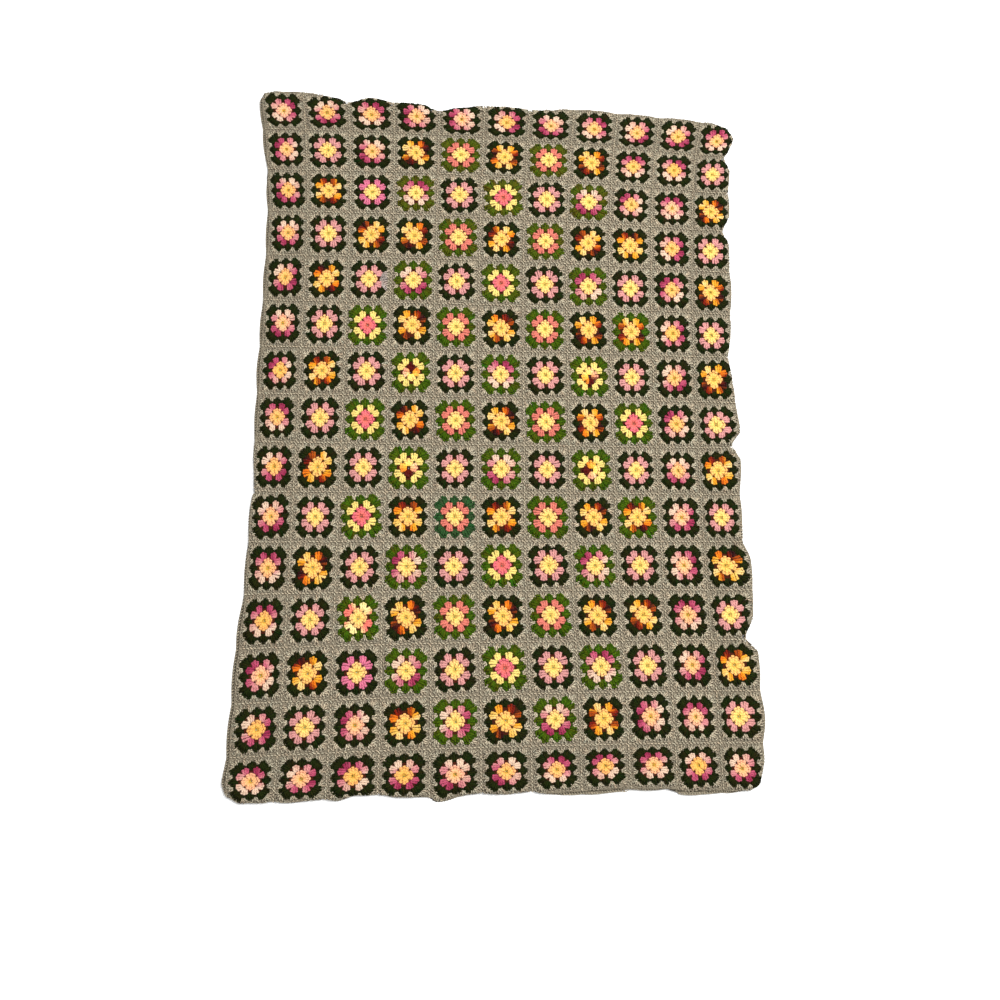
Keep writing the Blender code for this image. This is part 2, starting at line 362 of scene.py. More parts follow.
# ---------------------------------------------------------------- stitches of a square
# The clusters of a quarter of each round, each of three trebles: foot and tip as shares of
# a square from its middle, how far the outer trebles stand to the side of the middle one
# at the foot and at the tip, and how much shorter they are. Other quarters are the same.
# Each round's yarn then has, in metres, the heights of a treble's foot and tip, a treble's
# half width and half thickness, and its loop: half its length as a share of a square, and
# its half width and half thickness.
CENTRE_ROUND = (((0, 0.030), (0, 0.174), 0.028, 0.064, 0.028),)
CENTRE_WORK = {
    "heights": (0.0038, 0.0042), "thick": (0.0054, 0.0007), "loop": (0.042, 0.0033, 0.0009)
}
PETAL_ROUND = (
    ((0.106, 0.130), (0.127, 0.288), 0.034, 0.050, 0.020),
    ((0.130, 0.106), (0.288, 0.127), 0.034, 0.050, 0.020),
)
PETAL_WORK = {
    "heights": (0.0032, 0.0034), "thick": (0.0032, 0.0016), "loop": (0.034, 0.0026, 0.0014)
}
RING_ROUND = (
    ((0, 0.240), (0, 0.402), 0.028, 0.058, 0.036),
    ((0.204, 0.238), (0.262, 0.396), 0.034, 0.054, 0.024),
    ((0.238, 0.204), (0.396, 0.262), 0.034, 0.054, 0.024),
)
RING_WORK = {
    "heights": (0.0016, 0.0030), "thick": (0.0038, 0.0018), "loop": (0.036, 0.0024, 0.0015)
}
LEAF_ROUND = (
    ((0, 0.236), (0, 0.420), 0.036, 0.060, 0.040),
    ((0.198, 0.240), (0.270, 0.414), 0.044, 0.058, 0.030),
    ((0.240, 0.198), (0.414, 0.270), 0.044, 0.058, 0.030),
)
LEAF_WORK = {
    "heights": (0.0020, 0.0034), "thick": (0.0048, 0.0016), "loop": (0.042, 0.0027, 0.0015)
}
BORDER_ROUND = (
    ((-0.138, 0.344), (-0.114, 0.464), 0.014, 0.074, 0.004),
    ((0.138, 0.344), (0.114, 0.464), 0.014, 0.074, 0.004),
    ((0.318, 0.342), (0.342, 0.464), 0.018, 0.074, 0.004),
    ((0.342, 0.318), (0.464, 0.342), 0.018, 0.074, 0.004),
)
BORDER_WORK = {
    "heights": (0.0024, 0.0028), "thick": (0.0033, 0.0013), "loop": (0.036, 0.0021, 0.0011)
}
LOOP_SLOPE = 0.45           # the loops on a cluster's outer trebles slope down this steeply
FULL_CROWN = 0.014          # and so steeply only where those are this much shorter


def trebles(clusters):
    """Foot, tip and way of the loop of every treble of a round, and how far round it is."""
    feet, tips, loops = [], [], []
    quarter_turn = np.array([[0, 1], [-1, 0]])
    for quarter in range(4):
        turn = np.linalg.matrix_power(quarter_turn, quarter)
        for foot, tip, foot_fan, tip_fan, crown in clusters:
            foot, tip = np.array(foot), np.array(tip)
            way = (tip - foot) / np.linalg.norm(tip - foot)
            aside = np.array([way[1], -way[0]])
            slope = LOOP_SLOPE * min(crown / FULL_CROWN, 1)
            for j in (-1, 0, 1):
                feet.append(turn @ (foot + aside * foot_fan * j))
                tips.append(turn @ (tip + aside * tip_fan * j - way * crown * j * j))
                loops.append(turn @ (aside - way * slope * j))
    feet, tips, loops = np.array(feet), np.array(tips), np.array(loops)
    return feet, tips, loops, np.arctan2(tips[:, 0], tips[:, 1]) / (2 * np.pi)


# Every square is a little different: its flower sits a touch off its middle, and its
# rounds draw it a little anticlockwise.
FLOWER_SHIFT = RNG.normal(0, 0.007, (len(SQUARES), 2))
FLOWER_TURN = RNG.normal(math.radians(3), math.radians(2.5), len(SQUARES))
INNER_TURN = 0.6            # how much of that the flower itself is drawn round
FLOWER_SIZE = 1 + RNG.normal(0, 0.025, len(SQUARES))
RUN_START = RNG.random(len(SQUARES))
RUN_REPEATS = RNG.uniform(0.85, 1.25, len(SQUARES))
PEACH_SHARE = RNG.uniform(0.1, 1.0, len(SQUARES))   # how far a gold centre leans to peach
AUTUMN_REPEATS = 1.7        # its run of colours is the shorter one
ROSE_SIZE = 0.94            # the rose flowers are worked a little tighter
IS_ROSE = np.array([kind == "rose" for kind in SQUARE_KINDS])
HELD_REACH = 0.16           # a square's last stitches, this far in, are held by its joins
FLOWER_REACH = 0.34         # how far from its middle a square's flower goes
FLOWER_EDGE = 0.04


def on_squares(points, which, looseness):
    """Points of one square's pattern put on each chosen square: (squares, points, 2) in
    u and v, each flower a little shifted and turned and each point a little loose."""
    p = points[None] + RNG.normal(0, looseness, (len(which), *points.shape))
    reach = np.abs(p).max(-1, keepdims=True)
    free = np.clip((0.5 - reach) / HELD_REACH, 0, 1)
    flower = np.clip((FLOWER_REACH - reach[..., 0]) / FLOWER_EDGE, 0, 1)
    angle = FLOWER_TURN[which, None] * free[..., 0] * (1 + (INNER_TURN - 1) * flower)
    size = 1 + (FLOWER_SIZE[which, None] - 1) * free[..., 0]
    size = size * (1 + (ROSE_SIZE - 1) * IS_ROSE[which, None] * flower)
    c, s = np.cos(angle) * size, np.sin(angle) * size
    a = p[..., 0] * c - p[..., 1] * s
    b = p[..., 0] * s + p[..., 1] * c
    a = a + FLOWER_SHIFT[which, None, 0] * free[..., 0]
    b = b + FLOWER_SHIFT[which, None, 1] * free[..., 0]
    corner = np.array(SQUARES)[which]
    return np.stack([corner[:, None, 0] + 0.5 + a, corner[:, None, 1] + 0.5 - b], axis=-1)


# ---------------------------------------------------------------- yarn lengths
STRETCH = 3                 # a strand's rings are shaped this much longer, then drawn back
NEAR = 0.001


def strand_form(sides, profile):
    """A closed length of yarn, one unit long and half wide, as arrays to be copied. The
    profile gives each ring of points: how far along from foot to tip, and its fullness."""
    bpy.ops.object.select_all(action="DESELECT")
    bpy.ops.mesh.primitive_uv_sphere_add(segments=sides, ring_count=len(profile) + 1, radius=1)
    form = bpy.context.object
    mesh = form.data
    levels = sorted({round(v.co.z, 4) for v in mesh.vertices})[1:-1]
    for level, (along, fullness) in zip(levels, profile):
        bpy.ops.object.mode_set(mode="EDIT")
        bpy.ops.mesh.select_all(action="DESELECT")
        bm = bmesh.from_edit_mesh(mesh)
        for vert in bm.verts:
            vert.select = abs(vert.co.z - level) < NEAR
        bm.select_flush(True)
        bmesh.update_edit_mesh(mesh)
        size = fullness / math.sqrt(1 - level * level)
        bpy.ops.transform.resize(value=(size, size, 1))
        bpy.ops.transform.translate(value=(0, 0, STRETCH * (along - 0.5) - level))
        bpy.ops.object.mode_set(mode="OBJECT")
    points = np.array([v.co for v in mesh.vertices])
    poles = (abs(points[:, 2]) == 1) & (abs(points[:, 0]) < NEAR)
    points[:, 2] = np.where(poles, points[:, 2] / 2, points[:, 2] / STRETCH)
    # A new sphere's faces come in a different order each time, so they are put in one order.
    faces = sorted(mesh.polygons, key=lambda face: tuple(face.vertices))
    corners = np.array([vertex for face in faces for vertex in face.vertices])
    sizes = np.array([face.loop_total for face in faces])
    spread = mesh.uv_layers.active.data
    uv = np.array([spread[i].uv for face in faces for i in face.loop_indices])
    bpy.data.objects.remove(form)
    bpy.data.meshes.remove(mesh)
    points[:, 2] += 0.5
    uv[:, 1] = points[corners, 2]
    return {"points": points, "corners": corners, "sizes": sizes, "uv": uv}


YARN_TURN = 0.0075          # one turn of the strands in a treble
ARCH = 0.0007               # a treble's middle stands this much over its ends


def lay(form, start, end, thick, colour):
    """Copies of a length of yarn from each start to each end, (n, 3) in u, v and height.
    thick (n, 2) is their half width and half thickness, colour (n, 2, 3) is at foot and tip."""
    scale = np.array([SQUARE_WIDTH, -SQUARE_LENGTH, 1])
    run = (end - start) * scale
    length = np.linalg.norm(run, axis=1)
    flat = np.maximum(np.linalg.norm(run[:, :2], axis=1), 1e-9)
    aside = np.stack([-run[:, 1], run[:, 0], 0 * flat], axis=1) / flat[:, None]
    up = np.cross(run / length[:, None], aside)
    up = up * np.sign(up[:, 2:])
    p = form["points"]
    t = p[:, 2]
    place = (start * scale)[:, None] + run[:, None] * t[None, :, None]
    place = place + aside[:, None] * (p[None, :, :1] * thick[:, None, :1])
    arch = ARCH * 4 * t * (1 - t)
    place = place + up[:, None] * (p[None, :, 1:2] * thick[:, None, 1:] + arch[None, :, None])
    place = place / scale
    tint = colour[:, None, 0] * (1 - t)[None, :, None] + colour[:, None, 1] * t[None, :, None]
    uv = np.repeat(form["uv"][None], len(start), axis=0)
    uv[..., 1] = uv[..., 1] * (length / YARN_TURN)[:, None] + RNG.random((len(start), 1))
    return place, tint, uv


def joined(name, parts, material):
    """One mesh object from many copies: parts holds (form, what lay gave) pairs."""
    points, tints, corners, sizes, uvs = [], [], [], [], []
    first = 0
    for form, (place, tint, uv) in parts:
        count, each = place.shape[:2]
        points.append(place.reshape(-1, 3))
        tints.append(tint.reshape(-1, 3))
        uvs.append(uv.reshape(-1, 2))
        steps = first + np.arange(count)[:, None] * each
        corners.append((form["corners"][None] + steps).reshape(-1))
        sizes.append(np.tile(form["sizes"], count))
        first += count * each
    points, tints, uvs = np.concatenate(points), np.concatenate(tints), np.concatenate(uvs)
    corners, sizes = np.concatenate(corners), np.concatenate(sizes)
    points = settle(points[:, 0], points[:, 1], points[:, 2])
    mesh = bpy.data.meshes.new(name)
    mesh.vertices.add(len(points))
    mesh.loops.add(len(corners))
    mesh.polygons.add(len(sizes))
    mesh.vertices.foreach_set("co", points.astype(np.float32).ravel())
    mesh.loops.foreach_set("vertex_index", corners.astype(np.int32))
    starts = np.concatenate([[0], np.cumsum(sizes)[:-1]])
    mesh.polygons.foreach_set("loop_start", starts.astype(np.int32))
    mesh.polygons.foreach_set("loop_total", sizes.astype(np.int32))
    mesh.polygons.foreach_set("use_smooth", np.ones(len(sizes), bool))
    mesh.uv_layers.new(name="yarn_run").data.foreach_set("uv", uvs.astype(np.float32).ravel())
    layer = mesh.color_attributes.new("yarn_colour", "FLOAT_COLOR", "POINT")
    rgba = np.concatenate([tints, np.ones((len(tints), 1))], axis=1)
    layer.data.foreach_set("color", rgba.astype(np.float32).ravel())
    mesh.update(calc_edges=True)
    mesh.validate()
    mesh.materials.append(material)
    piece = bpy.data.objects.new(name, mesh)
    bpy.context.scene.collection.objects.link(piece)
    return piece


# ---------------------------------------------------------------- materials
FLECK_SCALE = 420           # mottling, about a ply's width
HAIR_SCALE = 1500           # the fuzz of single fibres
PLIES = 2


def noise(nodes, links, place, scale, detail):
    """A fine unevenness that stays with the piece."""
    node = nodes.new("ShaderNodeTexNoise")
    node.inputs["Scale"].default_value = scale
    node.inputs["Detail"].default_value = detail
    links.new(place.outputs["Object"], node.inputs["Vector"])
    return node.outputs["Fac"]


def worked_out(nodes, links, operation, *terms):
    """One sum, whose terms are numbers or other nodes' outputs."""
    node = nodes.new("ShaderNodeMath")
    node.operation = operation
    for socket, term in zip(node.inputs, terms):
        if isinstance(term, (int, float)):
            socket.default_value = term
        else:
            links.new(term, socket)
    return node.outputs["Value"]


def ranged(nodes, links, value, given, wanted=(0, 1)):
    """A value moved from one range to another, and held inside it."""
    node = nodes.new("ShaderNodeMapRange")
    limits = ("From Min", "From Max", "To Min", "To Max")
    for limit, number in zip(limits, (*given, *wanted)):
        node.inputs[limit].default_value = number
    links.new(value, node.inputs["Value"])
    return node.outputs["Result"]


def scaled(nodes, links, colour, amount):
    """A colour made lighter or darker."""
    node = nodes.new("ShaderNodeVectorMath")
    node.operation = "SCALE"
    links.new(colour, node.inputs[0])
    links.new(amount, node.inputs["Scale"])
    return node.outputs["Vector"]


def bumped(nodes, links, height, strength, distance, normal=None):
    """A raised grain, over another one where that is given."""
    node = nodes.new("ShaderNodeBump")
    node.inputs["Strength"].default_value = strength
    node.inputs["Distance"].default_value = distance
    links.new(height, node.inputs["Height"])
    if normal is not None:
        links.new(normal, node.inputs["Normal"])
    return node.outputs["Normal"]


def strands(nodes, links, parts, around, along):
    """A wave over the strands twisted round a stitch: 1 on a strand, 0 in the groove."""
    rise = worked_out(nodes, links, "MULTIPLY", parts.outputs["Y"], 2 * math.pi * along)
    turn = worked_out(
        nodes, links, "MULTIPLY_ADD", parts.outputs["X"], 2 * math.pi * around, rise
    )
    wave = worked_out(nodes, links, "SINE", turn)
    return ranged(nodes, links, wave, (-1, 1))


def marled_colour(nodes, links, plies, fleck, tinted):
    """Two shades twisted together: one ply in each shade, broken up along the yarn."""
    choose = worked_out(nodes, links, "MULTIPLY_ADD", plies, 0.55, fleck)
    mix = nodes.new("ShaderNodeMix")
    mix.data_type = "RGBA"
    mix.inputs["A"].default_value = (*linear(YARN["marl_brown"]), 1)
    mix.inputs["B"].default_value = (*linear(YARN["marl_light"]), 1)
    links.new(ranged(nodes, links, choose, (0.62, 0.86)), mix.inputs["Factor"])
    marl = nodes.new("ShaderNodeMix")
    marl.data_type = "RGBA"
    marl.blend_type = "MULTIPLY"
    marl.inputs["Factor"].default_value = 1
    links.new(mix.outputs["Result"], marl.inputs["A"])
    links.new(tinted, marl.inputs["B"])
    return marl.outputs["Result"]


def yarn_material(name, mottle, ply_shade, sheen, gloss, marled=False):
    """Worsted yarn: its colour from the piece, mottled, with the twist of its plies and painted
    shade in the grooves between them.
    """
    material = bpy.data.materials.new(name)
    material.use_nodes = True
    nodes, links = material.node_tree.nodes, material.node_tree.links
    shader = nodes["Principled BSDF"]
    shader.inputs["Roughness"].default_value = 0.88
    shader.inputs["Specular IOR Level"].default_value = gloss
    shader.inputs["Sheen Weight"].default_value = sheen
    shader.inputs["Sheen Roughness"].default_value = 0.45
    colour = nodes.new("ShaderNodeAttribute")
    colour.attribute_name = "yarn_colour"
    uv = nodes.new("ShaderNodeUVMap")
    uv.uv_map = "yarn_run"
    parts = nodes.new("ShaderNodeSeparateXYZ")
    links.new(uv.outputs["UV"], parts.inputs["Vector"])
    plies = strands(nodes, links, parts, PLIES, 1)
    place = nodes.new("ShaderNodeTexCoord")
    fleck = noise(nodes, links, place, FLECK_SCALE, 3)
    hair = noise(nodes, links, place, HAIR_SCALE, 2)
    # painted shade: the colour darkens by ply_shade in the grooves between the plies, and
    # lightens a little on the strands as painted highlight.
    groove = ranged(nodes, links, plies, (0, 1), (1 - ply_shade, 1.06))
    speck = ranged(nodes, links, fleck, (0.3, 0.7), (1 - mottle, 1 + mottle * 0.6))
    shade = worked_out(nodes, links, "MULTIPLY", groove, speck)
    tinted = scaled(nodes, links, colour.outputs["Color"], shade)
    if marled:
        tinted = marled_colour(nodes, links, plies, fleck, tinted)
    links.new(tinted, shader.inputs["Base Color"])
    twist = bumped(nodes, links, plies, 0.9, 0.0009)
    links.new(bumped(nodes, links, hair, 0.35, 0.0004, twist), shader.inputs["Normal"])
    return material


def web_material():
    """The backs of the stitches between them, in the yarn of each round, darkened as painted
    shade.
    """
    material = bpy.data.materials.new("stitch backs with painted shade")
    material.use_nodes = True
    nodes, links = material.node_tree.nodes, material.node_tree.links
    shader = nodes["Principled BSDF"]
    shader.inputs["Roughness"].default_value = 0.95
    shader.inputs["Specular IOR Level"].default_value = 0.1
    colour = nodes.new("ShaderNodeAttribute")
    colour.attribute_name = "yarn_colour"
    fleck = noise(nodes, links, nodes.new("ShaderNodeTexCoord"), 350, 3)
    speck = ranged(nodes, links, fleck, (0, 1), (0.5, 1.3))
    tinted = scaled(nodes, links, colour.outputs["Color"], speck)
    links.new(tinted, shader.inputs["Base Color"])
    links.new(bumped(nodes, links, fleck, 0.6, 0.0008), shader.inputs["Normal"])
    return material


# ---------------------------------------------------------------- pieces
# A treble's post and the loop over its tip: how far along each ring is, and its fullness.
POST_PROFILE = ((0.10, 0.74), (0.48, 0.88), (0.88, 1.0))
LOOP_PROFILE = ((0.22, 0.95), (0.78, 0.95))
POST = strand_form(5, POST_PROFILE)
PLAIN_POST = strand_form(4, POST_PROFILE)
LOOP = strand_form(4, LOOP_PROFILE)
LOOP_RISE = 0.0004          # a loop lies this much over the tip of its treble
# How uneven the hand's work is: feet and tips in shares of a square, heights in metres and
# thicknesses as a share.
LOOSE_FOOT = 0.003
LOOSE_TIP = 0.004
LOOSE_HEIGHT = 0.0002
LOOSE_THICK = 0.06


def cluster_round(clusters, which, heights, thick, loop, colours, post):
    """All trebles of one round on the chosen squares, with the loops along their tips."""
    feet, tips, loops, order = trebles(clusters)
    low = on_squares(feet, which, LOOSE_FOOT)
    high = on_squares(tips, which, LOOSE_TIP)
    count = low.shape[0] * low.shape[1]
    foot_height, tip_height = heights
    jitter = RNG.normal(0, LOOSE_HEIGHT, (2, *low.shape[:2]))
    start = np.concatenate([low, (foot_height + jitter[0])[..., None]], axis=-1).reshape(-1, 3)
    end = np.concatenate([high, (tip_height + jitter[1])[..., None]], axis=-1).reshape(-1, 3)
    size = np.array(thick) * RNG.normal(1, LOOSE_THICK, (count, 1))
    tint = colours(which, order)
    loop_half, *loop_thick = loop
    across = loops * np.array([1, -1]) * loop_half
    z = np.full((*high.shape[:2], 1), tip_height + LOOP_RISE)
    first = np.concatenate([high - across, z], axis=-1).reshape(-1, 3)
    last = np.concatenate([high + across, z], axis=-1).reshape(-1, 3)
    loop_size = np.tile(np.array(loop_thick), (count, 1))
    tip_tint = np.repeat(tint[:, 1:], 2, axis=1)
    return [
        (post, lay(post, start, end, size, tint)),
        (LOOP, lay(LOOP, first, last, loop_size, tip_tint)),
    ]


# Where the dark of the ember run falls, in turns clockwise from the top: (column, row).
EMBER_START = {(4, 7): 0.94, (8, 7): 0.36, (4, 9): 0.44, (8, 9): 0.68}
# How a round's yarn varies, as shares of its colour, and as factors on red, green, blue.
DEEP_MIDDLE = (0.98, 1.08, 0.72)        # a centre is deeper where its stitches crowd
CENTRE_TIP = (1, 1, 1.1)
CENTRE_UNEVEN = 0.015
PETAL_UNEVEN = 0.04
PETAL_RUN_ON = 0.05         # how far a run of colours goes on from a petal's foot to its tip
RING_UNEVEN = 0.10
RING_HUE = 0.12 * np.array([1, -0.6, 0])
BROWNER = np.array([0.42, -0.06, 0.5])  # what the leaf green gains in the rows at the head
BROWN_ROWS = 5
BROWN_FADE = 3
MARL_UNEVEN = 0.07
MARL_WARMTH = 0.02 * np.array([1, -0.4, -1])


def centre_colours(which, order):
    """Plain centres, gold ones leaning to peach, and the ember run round its squares."""
    tint = np.zeros((len(which), len(order), 3))
    for n, k in enumerate(which):
        centre = KINDS[SQUARE_KINDS[k]][0]
        if centre == "gold":
            lean = PEACH_SHARE[k]
            tint[n] = linear(YARN["gold"]) * (1 - lean) + linear(YARN["peach"]) * lean
        elif isinstance(centre, str):
            tint[n] = linear(YARN[centre])
        else:
            column, row = SQUARES[k]
            tint[n] = along_run(centre, order - EMBER_START[column + 1, row + 1])
    tint = tint * RNG.normal(1, CENTRE_UNEVEN, (len(which), len(order), 1))
    return tint.reshape(-1, 1, 3) * np.array([DEEP_MIDDLE, CENTRE_TIP])


def petal_colours(which, order):
    """Plain petals, uneven from cluster to cluster, or a run of colours round the flower."""
    tint = np.zeros((len(which), len(order), 2, 3))
    for n, k in enumerate(which):
        petals = KINDS[SQUARE_KINDS[k]][1]
        if isinstance(petals, str):
            tint[n] = linear(YARN[petals]) * RNG.normal(1, PETAL_UNEVEN, (len(order), 1, 1))
        else:
            repeats = 1 if petals is SUNSET_RUN else RUN_REPEATS[k]
            if petals is AUTUMN_RUN:
                repeats = repeats * AUTUMN_REPEATS
            phase = RUN_START[k] + order[:, None] * repeats + np.array([0, PETAL_RUN_ON])
            tint[n] = along_run(petals, phase)
    return tint.reshape(-1, 2, 3)


def ring_colours(which, order):
    """Greens mottled from stitch to stitch, browner in the rows at the head."""
    base = np.array([linear(YARN[KINDS[SQUARE_KINDS[k]][2]]) for k in which])
    row = np.array(SQUARES)[which, 1]
    browner = np.clip((BROWN_ROWS - row) / BROWN_FADE, 0, 1)[:, None, None] * BROWNER
    tone = RNG.normal(1, RING_UNEVEN, (len(which), len(order), 1))
    tone = tone + RNG.normal(0, 1, (len(which), len(order), 1)) * RING_HUE
    tone = tone + browner * IS_LEAF[which, None, None]
    return np.repeat((base[:, None] * tone).reshape(-1, 1, 3), 2, axis=1)


def marl_tone(count):
    """The marl's own shades are in its material; this varies them, warmer and cooler."""
    tone = RNG.normal(1, MARL_UNEVEN, (count, 1, 1))
    warmth = RNG.normal(0, 1, (count, 1, 1)) * MARL_WARMTH
    return np.repeat(tone * (1 + warmth), 2, axis=1)


FOOT_TO_TIP = (1.06, 0.97)  # the marl clusters darken towards the joins
BORDER_PAINTED_SHADE = 0.14        # painted shade: the outer squares are darker by this share


def marl_colours(which, order):
    """The outer squares are a little darker, as painted shade towards the blanket's edges."""
    place = np.array(SQUARES)[which]
    border = (place == 0).any(1) | (place[:, 0] == COLUMNS - 1) | (place[:, 1] == ROWS - 1)
    tone = np.repeat(1 - BORDER_PAINTED_SHADE * border, len(order))[:, None, None]
    stitches = marl_tone(len(which) * len(order))
    return stitches * tone * np.array(FOOT_TO_TIP)[:, None]


# Joins: places in shares of a square, either side of the join and along it.
JOINS_PER_SQUARE = 13
JOIN_DOWN = (0.010, 0.038)      # a stitch of the joins that run down: half across, half along
JOIN_ACROSS = (0.009, 0.040)
JOIN_LOOSE = 0.002
JOIN_HEIGHT = 0.0040
JOIN_THICK = (0.0018, 0.0017)
JOIN_HIGHLIGHT = 1.26                # painted highlight: the joins lie uppermost and catch the light


def at_height(places, height):
    """Places in u and v, (n, 2), with one height added."""
    return np.concatenate([places, np.full((len(places), 1), height)], axis=1)


def join_stitches():
    """The line of joining stitches along every join, slanting from square to square."""
    starts, ends = [], []
    for j in range(1, COLUMNS):
        v = (np.arange(ROWS * JOINS_PER_SQUARE) + 0.5) / JOINS_PER_SQUARE
        out, along = JOIN_DOWN
        starts.append(np.stack([j - out + 0 * v, v - along], axis=1))
        ends.append(np.stack([j + out + 0 * v, v + along], axis=1))
    for i in range(1, ROWS):
        u = (np.arange(COLUMNS * JOINS_PER_SQUARE) + 0.5) / JOINS_PER_SQUARE
        out, along = JOIN_ACROSS
        starts.append(np.stack([u - along, i - out + 0 * u], axis=1))
        ends.append(np.stack([u + along, i + out + 0 * u], axis=1))
    start, end = np.concatenate(starts), np.concatenate(ends)
    start = at_height(start + RNG.normal(0, JOIN_LOOSE, start.shape), JOIN_HEIGHT)
    end = at_height(end + RNG.normal(0, JOIN_LOOSE, end.shape), JOIN_HEIGHT)
    thick = np.tile(JOIN_THICK, (len(start), 1))
    return [(LOOP, lay(LOOP, start, end, thick, marl_tone(len(start)) * JOIN_HIGHLIGHT))]


MENDED = (3, 5)             # column and row
MEND_STRANDS = 11
MEND_THICK = (0.0017, 0.0013)
MEND_HEIGHTS = (0.0044, 0.0040)
MEND_TINT = np.array([1.25, 1.20, 1.50])


def mend_stitches():
    """An old mend in greyer yarn, fanned over the right side of one square."""
    column, row = MENDED
    t = np.linspace(-1, 1, MEND_STRANDS)
    start = np.stack([column - 0.27 + 0.05 * abs(t), row - 0.50 + 0.12 * t], axis=1)
    end = np.stack([column - 0.04 - 0.03 * abs(t), row - 0.46 + 0.23 * t], axis=1)
    start, end = at_height(start, MEND_HEIGHTS[0]), at_height(end, MEND_HEIGHTS[1])
    thick = np.tile(MEND_THICK, (len(t), 1))
    return [(PLAIN_POST, lay(PLAIN_POST, start, end, thick, marl_tone(len(t)) * MEND_TINT))]


# The edging: metres out from the squares, and shares of the space one stitch has.
EDGING_PER_SQUARE = 18
EDGING_FOOT = 0.0006
EDGING_TIP = 0.0048
EDGING_LOOP = 0.0054
POST_LEAN = 0.7
LOOP_REACH = 1.3
# painted shade: the whole edging's colour is darkened by this factor
EDGING_SHADE = 0.95
# Heights of the two ends, and half width and half thickness, of its posts and its loops.
EDGING_POST = ((0.0024, 0.0026), (0.0016, 0.0018))
EDGING_RIM = ((0.0030, 0.0030), (0.0014, 0.0016))


def edging_stitches():
    """The edging round: a short stitch and a loop along the rim, all the way round."""
    posts, loops = [], []
    half = 0.5 / EDGING_PER_SQUARE
    for count, edges, pitch, across in (
        (COLUMNS, (0, ROWS), END_ROW_LENGTH, True),
        (ROWS, (0, COLUMNS), SIDE_COLUMN_WIDTH, False),
    ):
        t = (np.arange(count * EDGING_PER_SQUARE) + 0.5) / EDGING_PER_SQUARE
        for edge, way in zip(edges, (-1, 1)):
            foot, tip, loop = (
                edge + way * out / pitch + 0 * t
                for out in (EDGING_FOOT, EDGING_TIP, EDGING_LOOP)
            )
            for rows, low, high, reach in (
                (posts, foot, tip, half * POST_LEAN), (loops, loop, loop, half * LOOP_REACH)
            ):
                start, end = (t - reach, low), (t + reach, high)
                if not across:
                    start, end = start[::-1], end[::-1]
                rows.append((np.stack(start, axis=1), np.stack(end, axis=1)))
    parts = []
    for rows, (heights, thick), form in (
        (posts, EDGING_POST, PLAIN_POST), (loops, EDGING_RIM, LOOP)
    ):
        start = at_height(np.concatenate([low for low, _ in rows]), heights[0])
        end = at_height(np.concatenate([high for _, high in rows]), heights[1])
        size = np.tile(thick, (len(start), 1))
        parts.append((form, lay(form, start, end, size, marl_tone(len(start)) * EDGING_SHADE)))
    return parts


# The web: one thin sheet through the middle of the cloth, the backs of the stitches, in each
# round's yarn colour darkened as painted shade. Each square has one loop of it at each reach
# from its middle, round inside and square outside.
WEB_REACHES = (0.012, 0.08, 0.12, 0.155, 0.19, 0.26, 0.33, 0.38, 0.42, 0.46, 0.5)
WEB_STEPS = 4               # steps of a loop on each side of a square
WEB_HEIGHT = 0.0019
DISC_HEIGHT = 0.0043        # under the centre round, where the cloth is fullest
WEB_PAST = 0.8              # how much of the edging's width the web goes out under it
SAME_PLACE = 1 / 2048       # points as near as this share of a square are one
SHADE = linear((64, 24, 11))            # painted shade: what shows dark in the gaps between clusters
MIDDLE_HOLE_SHADE = np.array([0.52, 0.66, 0.28])    # painted shade: the yarn's colour darkened in the web at the hole in a square's middle
MARL = (linear(YARN["marl_light"]) + linear(YARN["marl_brown"])) / 2


def web_shades(kind):
    """The web's colour at each reach in one kind of square: each round's yarn darkened, as
    painted shade.
    """
    centre, petal, ring = KINDS[kind]
    petal = linear(YARN[petal] if isinstance(petal, str) else petal[3])
    centre = linear(YARN[centre] if isinstance(centre, str) else centre[1])
    ring = linear(YARN[ring])
    return (
        centre * MIDDLE_HOLE_SHADE, centre * 0.9, centre * 0.8, petal * 0.6, SHADE, SHADE,
        ring * 0.6, ring * 0.5, ring * 0.2 + MARL * 0.5, MARL * 0.6, MARL * 0.6,
    )


def gets_painted_shade(a, b, reach):
    """Whether a point of the web gets the painted shade of the spaces beside the petals and of
    the dots at the corners of a square's centre round.
    """
    beside_petals = a * b == 0 and 0.18 < reach < 0.3
    at_corner = abs(abs(a) - abs(b)) < 0.01 and 0.1 < reach < 0.16
    return beside_petals or at_corner


